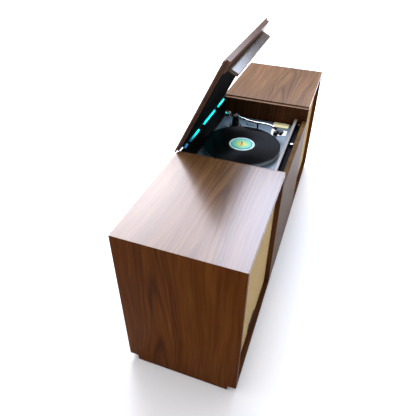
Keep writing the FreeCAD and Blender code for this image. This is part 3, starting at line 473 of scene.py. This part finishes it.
def woven(name, light, dark):
    material = bpy.data.materials.new(name)
    material.use_nodes = True
    tree = material.node_tree
    shader = tree.nodes["Principled BSDF"]
    place = node(tree, "SeparateXYZ", {"Vector": node(tree, "TexCoord").outputs["Object"]})
    turns = math.pi / YARN
    warp = node(tree, "Math", {0: node(tree, "Math", {0: place.outputs["X"], 1: turns},
                                       operation="MULTIPLY").outputs[0]}, operation="SINE")
    weft = node(tree, "Math", {0: node(tree, "Math", {0: place.outputs["Z"], 1: turns},
                                       operation="MULTIPLY").outputs[0]}, operation="SINE")
    over = node(tree, "Math", {0: warp.outputs[0], 1: weft.outputs[0]}, operation="MULTIPLY")
    height = node(tree, "MapRange", {"Value": over.outputs[0], "From Min": -1.0, "From Max": 1.0})
    slub_in = node(tree, "CombineXYZ", {
        "X": node(tree, "Math", {0: place.outputs["X"], 1: SLUBS_ACROSS},
                  operation="MULTIPLY").outputs[0],
        "Y": node(tree, "Math", {0: place.outputs["Z"], 1: SLUBS_UP},
                  operation="MULTIPLY").outputs[0]})
    slub = node(tree, "TexNoise", {"Vector": slub_in.outputs[0], "Scale": 1.0, "Detail": 3.0})
    # Painted shade: the yarn darkens where the weave dips, and slubs darken it too.
    slubs_and_hollow_shade = node(tree, "Math", {0: height.outputs[0], 1: slub.outputs["Fac"]}, operation="MULTIPLY")
    spread = node(tree, "MapRange", {"Value": slubs_and_hollow_shade.outputs[0], "From Min": 0.05, "From Max": 0.5})
    tone = node(tree, "Mix", {"Factor": spread.outputs[0], "A": colour(dark), "B": colour(light)},
                data_type="RGBA")
    bump = node(tree, "Bump", {"Height": height.outputs[0], "Strength": 0.5, "Distance": 0.0005})
    tree.links.new(tone.outputs["Result"], shader.inputs["Base Color"])
    tree.links.new(bump.outputs["Normal"], shader.inputs["Normal"])
    shader.inputs["Roughness"].default_value = 0.85
    shader.inputs["Sheen Weight"].default_value = 0.1
    shader.inputs["Specular IOR Level"].default_value = 0.1
    return material


grille_weave = woven("woven_speaker_cloth", "#DCBD78", "#8A6E3E")

# %% [markdown]
# ## Vinyl and its label
# A record is pressed PVC, almost black. What makes it look like one is the groove: thousands of
# fine rings that stretch every highlight into a fan of light from the middle. That is anisotropy
# with a tangent that runs round the disc. The rings in the bump are about 1 mm apart, far coarser
# than grooves, so that they show. The gaps between songs, and the smooth run-out and lead-in, are
# painted sheen: lighter rings in the colour, drawn from the distance to the spindle. The label is a
# printed paper disc, here with rings of colour only.

# %% Vinyl and label
RECORD_R = 0.151
RINGS_PER_M = 900.0
# Where each tone starts, as a share of the record's radius: the lighter ones are painted sheen.
GROOVE_AND_SHEEN_BANDS = ((0.41, "#060708"), (0.545, "#15191C"), (0.555, "#060708"), (0.665, "#15191C"),
         (0.675, "#070809"), (0.80, "#15191C"), (0.81, "#060708"), (0.90, "#15191C"),
         (0.91, "#060708"))
LABEL_SPAN = 0.057      # metres of smudged radius that the label's colours are spread over
SMUDGE = 0.014          # metres by which a blot pushes a ring out
# Where each colour of the print lies, as a share of that span.
PRINT_RINGS = ((0.30, "#F6E58A"), (0.42, "#D6EA6C"), (0.56, "#86E0A4"), (0.72, "#62E2CC"),
               (0.83, "#2F949C"), (0.88, "#62CFC6"), (0.93, "#EAFFF6"))
spindle = sum((Vector(c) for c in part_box("record")), Vector()) / 2


def radius_from(tree, centre):
    place = node(tree, "VectorMath", {0: node(tree, "TexCoord").outputs["Object"],
                                      1: (centre.x, centre.y, 0.0)}, operation="SUBTRACT")
    flat = node(tree, "VectorMath", {0: place.outputs[0], 1: (1.0, 1.0, 0.0)}, operation="MULTIPLY")
    return node(tree, "VectorMath", {0: flat.outputs[0]}, operation="LENGTH").outputs["Value"]


vinyl = bpy.data.materials.new("pressed_vinyl")
vinyl.use_nodes = True
tree = vinyl.node_tree
shader = tree.nodes["Principled BSDF"]
radius = radius_from(tree, spindle)
fine = node(tree, "TexNoise", {"Vector": node(tree, "CombineXYZ", {
    "X": node(tree, "Math", {0: radius, 1: RINGS_PER_M}, operation="MULTIPLY").outputs[0]}
).outputs[0], "Scale": 1.0, "Detail": 3.0})
bands = node(tree, "ValToRGB", {"Fac": node(tree, "Math", {0: radius, 1: RECORD_R},
                                            operation="DIVIDE").outputs[0]})
bands.color_ramp.interpolation = "CONSTANT"
# Painted sheen: the run-out inside the first song and the lead-in at the rim are drawn lighter.
bands.color_ramp.elements[0].color = colour("#101316")
bands.color_ramp.elements[1].position = 0.97
bands.color_ramp.elements[1].color = colour("#101316")
for at, tone in GROOVE_AND_SHEEN_BANDS:
    bands.color_ramp.elements.new(at).color = colour(tone)
cut = node(tree, "Bump", {"Height": fine.outputs["Fac"], "Strength": 0.25, "Distance": 0.0003})
round_it = node(tree, "Tangent", direction_type="RADIAL", axis="Z")
tree.links.new(bands.outputs["Color"], shader.inputs["Base Color"])
tree.links.new(cut.outputs["Normal"], shader.inputs["Normal"])
tree.links.new(round_it.outputs["Tangent"], shader.inputs["Tangent"])
shader.inputs["Roughness"].default_value = 0.3
shader.inputs["Anisotropic"].default_value = 0.9
shader.inputs["IOR"].default_value = 1.54
shader.inputs["Specular IOR Level"].default_value = 0.03

label_paper = bpy.data.materials.new("printed_label_paper")
label_paper.use_nodes = True
tree = label_paper.node_tree
shader = tree.nodes["Principled BSDF"]
radius = radius_from(tree, spindle)
blot = node(tree, "TexNoise", {"Vector": node(tree, "TexCoord").outputs["Object"], "Scale": 55.0,
                               "Detail": 2.0})
smudged = node(tree, "Math", {0: blot.outputs["Fac"], 1: SMUDGE, 2: radius},
               operation="MULTIPLY_ADD")
print_run = node(tree, "ValToRGB", {"Fac": node(tree, "Math", {0: smudged.outputs[0],
                                                              1: LABEL_SPAN},
                                                operation="DIVIDE").outputs[0]})
print_run.color_ramp.elements[0].color = colour("#F2F3DF")
print_run.color_ramp.elements[1].color = colour("#E6F6EC")
for at, tone in PRINT_RINGS:
    print_run.color_ramp.elements.new(at).color = colour(tone)
tree.links.new(print_run.outputs["Color"], shader.inputs["Base Color"])
shader.inputs["Roughness"].default_value = 0.4
print("spindle", [round(c, 4) for c in spindle])

# %% [markdown]
# ## Eased boards and parts
# A joiner takes the knife edge off every board before it is finished, and a moulded or cast part
# has a small round on every corner. It is less than a millimetre, yet it catches the light along
# each edge. Each such piece keeps its CAD shape: a copy is welded, its flat faces are joined, and a
# small bevel is applied. Smooth shading then bends the light across the whole board, as on a
# cushion, so the normals are weighted by face area: the big faces stay flat and only the round edge
# turns the light. Solids that share a node are parted, so that each is a piece of its own. The
# arm's tube and pivot block are round already, so they are only smoothed.

# %% Eased pieces
WELD = 0.00001
FLAT_WITHIN = math.radians(1)
BEVEL_OVER = math.radians(40)
SMOOTH_UNDER = math.radians(35)
EASE_STEPS = 2
slots_of = {part["node"]: part["material_slot"] for part in frame["record"]["subparts"]}


def eased(name, material, ease_mm):
    """Copy a CAD node, weld and bevel it, part its solids, and stand them in for the node."""
    source = nodes[name]
    body, slot = source["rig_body"], slots_of[name]
    deselect()
    copy = source.copy()
    copy.data = source.data.copy()
    copy.parent = None
    for key in list(copy.keys()):
        del copy[key]
    bpy.context.scene.collection.objects.link(copy)
    copy.select_set(True)
    bpy.context.view_layer.objects.active = copy
    bpy.ops.object.mode_set(mode="EDIT")
    bpy.ops.mesh.select_all(action="SELECT")
    bpy.ops.mesh.remove_doubles(threshold=WELD)
    bpy.ops.mesh.normals_make_consistent(inside=False)
    bpy.ops.mesh.dissolve_limited(angle_limit=FLAT_WITHIN)
    bpy.ops.mesh.separate(type="LOOSE")
    bpy.ops.object.mode_set(mode="OBJECT")
    made = sorted(bpy.context.selected_objects, key=lambda o: min(v.co.x for v in o.data.vertices))
    for i, piece in enumerate(made):
        deselect()
        piece.select_set(True)
        bpy.context.view_layer.objects.active = piece
        if ease_mm:
            bevel = piece.modifiers.new("ease", "BEVEL")
            bevel.width = ease_mm * MM
            bevel.segments = EASE_STEPS
            bevel.limit_method = "ANGLE"
            bevel.angle_limit = BEVEL_OVER
            bevel.use_clamp_overlap = True
            bpy.ops.object.modifier_apply(modifier="ease")
        bpy.ops.object.shade_smooth_by_angle(angle=SMOOTH_UNDER)
        if ease_mm:
            flatten = piece.modifiers.new("flatten", "WEIGHTED_NORMAL")
            flatten.mode = "FACE_AREA"
            flatten.keep_sharp = True
            bpy.ops.object.modifier_apply(modifier="flatten")
        title = f"{name}_shown" if len(made) == 1 else f"{name}_{i + 1}_shown"
        finish(piece, title, material, body)
        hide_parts(name)
    return made


# Node, finish and ease in millimetres.
EASED = (
    ("end_panels", end_veneer, 0.8), ("wing_top_panels", top_veneer, 0.8),
    ("lid_panel", lid_veneer, 0.8), ("lid_fascia", fascia_veneer, 0.8),
    ("front_panel", front_veneer, 0.8), ("front_strip", strip_veneer_and_sheen, 0.8),
    ("bottom_board", board_veneer, 0.6), ("partitions", well_veneer, 0.8),
    ("plinth_rails", well_veneer, 0.6), ("hinge_rail", black_board, 0.6),
    ("deck_plate", deck_paint, 0.8), ("badge_plate", dark_metal, 0.4),
    ("hinge_rail_leaves", bronze, 0.25), ("hinge_lid_leaves", bronze, 0.25),
    ("headshell", black_abs, 0.5), ("cartridge", black_abs, 0.6), ("cue_lever", bright_metal, 0.4),
    ("arm_rest", black_abs, 0.4), ("arm_yoke", black_abs, 0.5), ("power_inlet", black_abs, 0.4),
    ("lid_light_housing", black_abs, 0.4), ("lid_light_lenses", cyan_lens, 0.3),
    ("lid_pilot_lens", pilot_lens, 0.3), ("arm_tube", chrome, 0.0),
    ("arm_pivot_block", black_abs, 0.0), ("control_channel", powder_coat, 0.3),
    ("control_plates", white_paint, 0.4),
)
eased_pieces = {name: eased(name, material, ease) for name, material, ease in EASED}
escutcheon = max(eased_pieces["control_plates"], key=lambda o: max(v.co.x for v in o.data.vertices))
escutcheon.data.materials[0] = cream_abs
# The partitions are dark inside the well, and their top edges carry the tops' lacquered veneer.
for piece in eased_pieces["partitions"]:
    piece.data.materials.append(band_veneer)
    for face in piece.data.polygons:
        face.material_index = int(face.normal.z > 0.9)
print("eased", sum(len(made) for made in eased_pieces.values()), "pieces")

# %% [markdown]
# ## Turned parts
# The record, platter, mat, weight and knobs are all round, so each is one profile turned about an
# axis. A circle is extruded ring by ring, and each new ring is resized to the profile's radius. The
# last ring lands on the first, and the two are welded. Spin would do it too, with its doubled seam
# down the side instead.

# %% The lathe
RING_WELD = 0.000002
TURNED_SMOOTH = math.radians(28)


def turned(name, profile, base, material, stands_for, along=None, steps=96):
    """Turn a closed profile of (radius, height) in mm about Z, then lay it along an axis."""
    deselect()
    r0, h0 = profile[0]
    bpy.ops.mesh.primitive_circle_add(vertices=steps, radius=r0 * MM, fill_type="NOTHING",
                                      location=(0, 0, 0))
    piece = bpy.context.object
    bpy.ops.object.mode_set(mode="EDIT")
    bpy.ops.mesh.select_all(action="SELECT")
    bpy.ops.transform.translate(value=(0, 0, h0 * MM))
    for (r1, h1), (r2, h2) in zip(profile, profile[1:] + profile[:1]):
        bpy.ops.mesh.extrude_edges_move(TRANSFORM_OT_translate={"value": (0, 0, (h2 - h1) * MM)})
        bpy.ops.transform.resize(value=(r2 / r1, r2 / r1, 1), center_override=(0, 0, 0))
    bpy.ops.mesh.select_all(action="SELECT")
    bpy.ops.mesh.remove_doubles(threshold=RING_WELD)
    bpy.ops.mesh.normals_make_consistent(inside=False)
    bpy.ops.object.mode_set(mode="OBJECT")
    if along is not None:
        piece.rotation_euler = Vector(along).to_track_quat("Z", "Y").to_euler()
    piece.location = base
    bpy.ops.object.transform_apply(location=True, rotation=True, scale=True)
    bpy.ops.object.shade_smooth_by_angle(angle=TURNED_SMOOTH)
    source = nodes[stands_for]
    finish(piece, name, material, source["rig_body"])
    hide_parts(stands_for)
    return piece


def base_of(name):
    low_corner, high_corner = (Vector(c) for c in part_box(name))
    middle = (low_corner + high_corner) / 2
    return Vector((middle.x, middle.y, low_corner.z))


# %% Record, label, mat and platter
RIB_STEP = 8
RIM_GROOVES = (3.5, 6.5, 9.5)
turned("record_disc", [(3.65, 0), (54, 0), (56, 0.3), (144, 0.3), (146.5, 0), (150, 0.1), (151, 0.6),
                       (151, 1.2), (150, 1.7), (146.5, 1.8), (145, 1.55), (56, 1.55), (53.5, 1.8),
                       (3.65, 1.8)], base_of("record"), vinyl, "record", steps=160)
turned("record_label_disc", [(3.65, 0), (49.6, 0), (50, 0.1), (49.6, 0.2), (36.4, 0.2), (36, 0.12),
                             (35.4, 0.12), (35, 0.2), (3.65, 0.2)], base_of("record_label"),
       label_paper, "record_label")
rib = []
for r in range(24, 144, RIB_STEP):
    rib += [(r, 2.5), (r + 1, 1.9), (r + 3, 1.9), (r + 4, 2.5)]
turned("ribbed_platter_mat", [(3.9, 0), (145.5, 0), (146, 0.5), (146, 2.0), (145.5, 2.5)]
       + rib[::-1] + [(3.9, 2.5)], base_of("platter_mat"), rubber, "platter_mat", steps=128)
rim = [(147, 0), (148, 1)]
for h in RIM_GROOVES:
    rim += [(148, h), (147.3, h + 0.4), (147.3, h + 0.9), (148, h + 1.3)]
turned("platter_casting", [(5.05, 9), (140, 9), (140, 0)] + rim + [(148, 14), (147, 15), (5.05, 15)],
       base_of("platter"), bright_metal, "platter", steps=160)

# %% [markdown]
# ## Knobs and counterweight
# A knob is fluted so that fingertips grip it. The flutes are made on the turned blank: every second
# column of points on its side is drawn in towards the axis. The counterweight is a turned and
# chromed weight with a knurled ring, and it slides along the arm's rear stub. Both knob types and
# the weight share one helper, because a knurl is a fine flute.

# %% Flutes
UP = (0, 0, 1)
FLUTE = 0.93            # share of its radius that a drawn-in point keeps
KNURL = 0.965


def fluted(piece, centre, axis, outer_mm, draw, low_mm, high_mm):
    """Draw in every second column of the points beyond outer_mm, between two heights."""
    axis = Vector(axis).normalized()
    centre = Vector(centre)
    side = axis.orthogonal().normalized()
    other = axis.cross(side)
    outer = []
    for vertex in piece.data.vertices:
        arm = vertex.co - centre
        height = arm.dot(axis)
        flat = arm - axis * height
        if flat.length > outer_mm * MM and low_mm * MM <= height <= high_mm * MM:
            outer.append((math.atan2(flat.dot(other), flat.dot(side)) % math.tau, vertex.index))
    angles = sorted({round(a, 3) % round(math.tau, 3) for a, i in outer})
    odd = {a for k, a in enumerate(angles) if k % 2}
    deselect()
    piece.select_set(True)
    bpy.context.view_layer.objects.active = piece
    for part in (piece.data.polygons, piece.data.edges, piece.data.vertices):
        part.foreach_set("select", [False] * len(part))
    for angle, index in outer:
        piece.data.vertices[index].select = (round(angle, 3) % round(math.tau, 3)) in odd
    bpy.ops.object.mode_set(mode="EDIT")
    bpy.ops.mesh.select_mode(type="VERT")
    turn = axis.to_track_quat("Z", "Y").to_matrix()
    bpy.ops.transform.resize(value=(draw, draw, 1), orient_type="GLOBAL", orient_matrix=turn,
                             orient_matrix_type="GLOBAL", center_override=centre)
    bpy.ops.object.mode_set(mode="OBJECT")
    return len(angles)


# %% Knobs and weight
KNOB_STEPS = 48
WEIGHT_STEPS = 72
WEIGHT_LENGTH = 24
SMALL_KNOB = [(0.05, 0), (3, 0), (3, 13.5), (7, 13.5), (7, 24.5), (6.2, 25.5), (3.4, 25.5),
              (2.8, 25.0), (0.05, 25.0)]
SPEED_KNOB = [(0.05, 0), (3, 0), (3, 18), (10, 18), (10, 20), (9.2, 20.6), (8.8, 29.5), (7.8, 31),
              (4.5, 31), (4.0, 30.5), (0.05, 30.5)]
WEIGHT = [(3.05, 0), (12.5, 0), (14, 0.8), (15, 2.2), (15, 8), (14.2, 8.6), (14.2, 9.4), (15, 10),
          (15, 20), (14.2, 20.6), (14.2, 21.4), (14.8, 22), (13, WEIGHT_LENGTH),
          (8, WEIGHT_LENGTH), (7.5, 23), (3.05, 23)]
for name in ("volume_knob", "tone_knob"):
    base = base_of(name)
    piece = turned(name + "_turned", SMALL_KNOB, base, bright_metal, name, steps=KNOB_STEPS)
    print(name, "flutes", fluted(piece, base, UP, 6.9, FLUTE, 13.6, 25.0) // 2)
base = base_of("speed_knob")
piece = turned("speed_knob_turned", SPEED_KNOB, base, black_abs, "speed_knob", steps=KNOB_STEPS)
print("speed_knob flutes", fluted(piece, base, UP, 8.5, FLUTE, 20.4, 30.0) // 2)
slide = next(j for j in frame["record"]["behaviour"]["joints"] if j["name"] == "counterweight_slide")
stub = Vector(slide["axis"]).normalized()
corners = [Vector(c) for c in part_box("counterweight")]
middle = (corners[0] + corners[1]) / 2
start = middle - stub * (WEIGHT_LENGTH / 2) * MM
piece = turned("counterweight_turned", WEIGHT, start, chrome, "counterweight", along=stub,
               steps=WEIGHT_STEPS)
print("weight knurls", fluted(piece, start, stub, 14.9, KNURL, 9.5, 20.3) // 2)

# %% [markdown]
# ## Grille cloths
# Each cloth is one rectangle cut to the frame and pulled tight over it, so it lies quite flat. A
# cloth simulation would give back the same flat sheet. So it is a subdivided plane, a millimetre
# smaller each way than the cut size so that it rubs on no board, and Solidify gives it its
# thickness.

# %% Grille cloths
CLOTH_T = 0.6 * MM
CLOTH_PLAY = 1.0 * MM
CLOTH_SET_BACK = 0.2 * MM
CLOTH_CUTS = 20


def grille_sheet(name, low_corner, high_corner):
    deselect()
    width, tall = high_corner.x - low_corner.x, high_corner.z - low_corner.z
    bpy.ops.mesh.primitive_plane_add(size=1, location=(0, 0, 0))
    piece = bpy.context.object
    bpy.ops.object.mode_set(mode="EDIT")
    bpy.ops.mesh.select_all(action="SELECT")
    bpy.ops.transform.resize(value=(width - CLOTH_PLAY, tall - CLOTH_PLAY, 1))
    bpy.ops.mesh.subdivide(number_cuts=CLOTH_CUTS)
    bpy.ops.object.mode_set(mode="OBJECT")
    piece.rotation_euler = (math.radians(90), 0, 0)
    piece.location = ((low_corner.x + high_corner.x) / 2, low_corner.y + CLOTH_SET_BACK,
                      (low_corner.z + high_corner.z) / 2)
    bpy.ops.object.transform_apply(location=True, rotation=True, scale=True)
    thick = piece.modifiers.new("cloth", "SOLIDIFY")
    thick.thickness = CLOTH_T
    thick.offset = -1.0
    bpy.ops.object.modifier_apply(modifier="cloth")
    bpy.ops.object.shade_smooth_by_angle(angle=math.radians(40))
    finish(piece, name, grille_weave, nodes["grille_cloths"]["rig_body"])
    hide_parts("grille_cloths")
    return piece


cloth_low, cloth_high = (Vector(c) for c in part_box("grille_cloths"))
inner = min(abs(v.co.x) for v in nodes["grille_cloths"].data.vertices)
left = grille_sheet("grille_cloth_left", cloth_low, Vector((-inner, cloth_high.y, cloth_high.z)))
right = grille_sheet("grille_cloth_right", Vector((inner, cloth_low.y, cloth_low.z)), cloth_high)
print("cloth", round(cloth_high.x - inner, 3), "x", round(cloth_high.z - cloth_low.z, 3), "m")

# %% [markdown]
# Most of the rest is hidden behind boards and cloth, or seen only from behind: baffles, motor,
# amplifier, screws. Modelling those again would show nothing, so they keep the CAD's mesh and only
# get a finish. The lid's lining, the tonearm's base and the stylus do show, and are plain enough
# that the CAD's shape serves.

# %% Finishes on the CAD pieces that keep their shape
KEPT = {
    "lid_lining": lining_card, "speaker_baffles": black_board, "deck_shelf": black_board,
    "back_panels": hardboard, "battens": raw_board, "grille_frames": raw_board,
    "woofer_baskets": powder_coat, "connector_plate": powder_coat, "wood_screws": zinc,
    "motor": zinc, "amplifier_tray": zinc, "transformer": zinc, "control_switches": zinc,
    "sub_platter": bright_metal, "bearing_housing": brass,
    "motor_pulley": brass, "floor_glides": black_abs, "tweeters": black_abs,
    "tonearm_base": black_abs, "stylus": cream_abs, "deck_grommets": rubber, "drive_belt": rubber,
    "woofer_cones": cone_paper, "circuit_board": laminate,
}
for name, material in KEPT.items():
    slots = nodes[name].data.materials
    slots.clear()
    slots.append(material)
print("finishes on", len(KEPT), "CAD nodes")
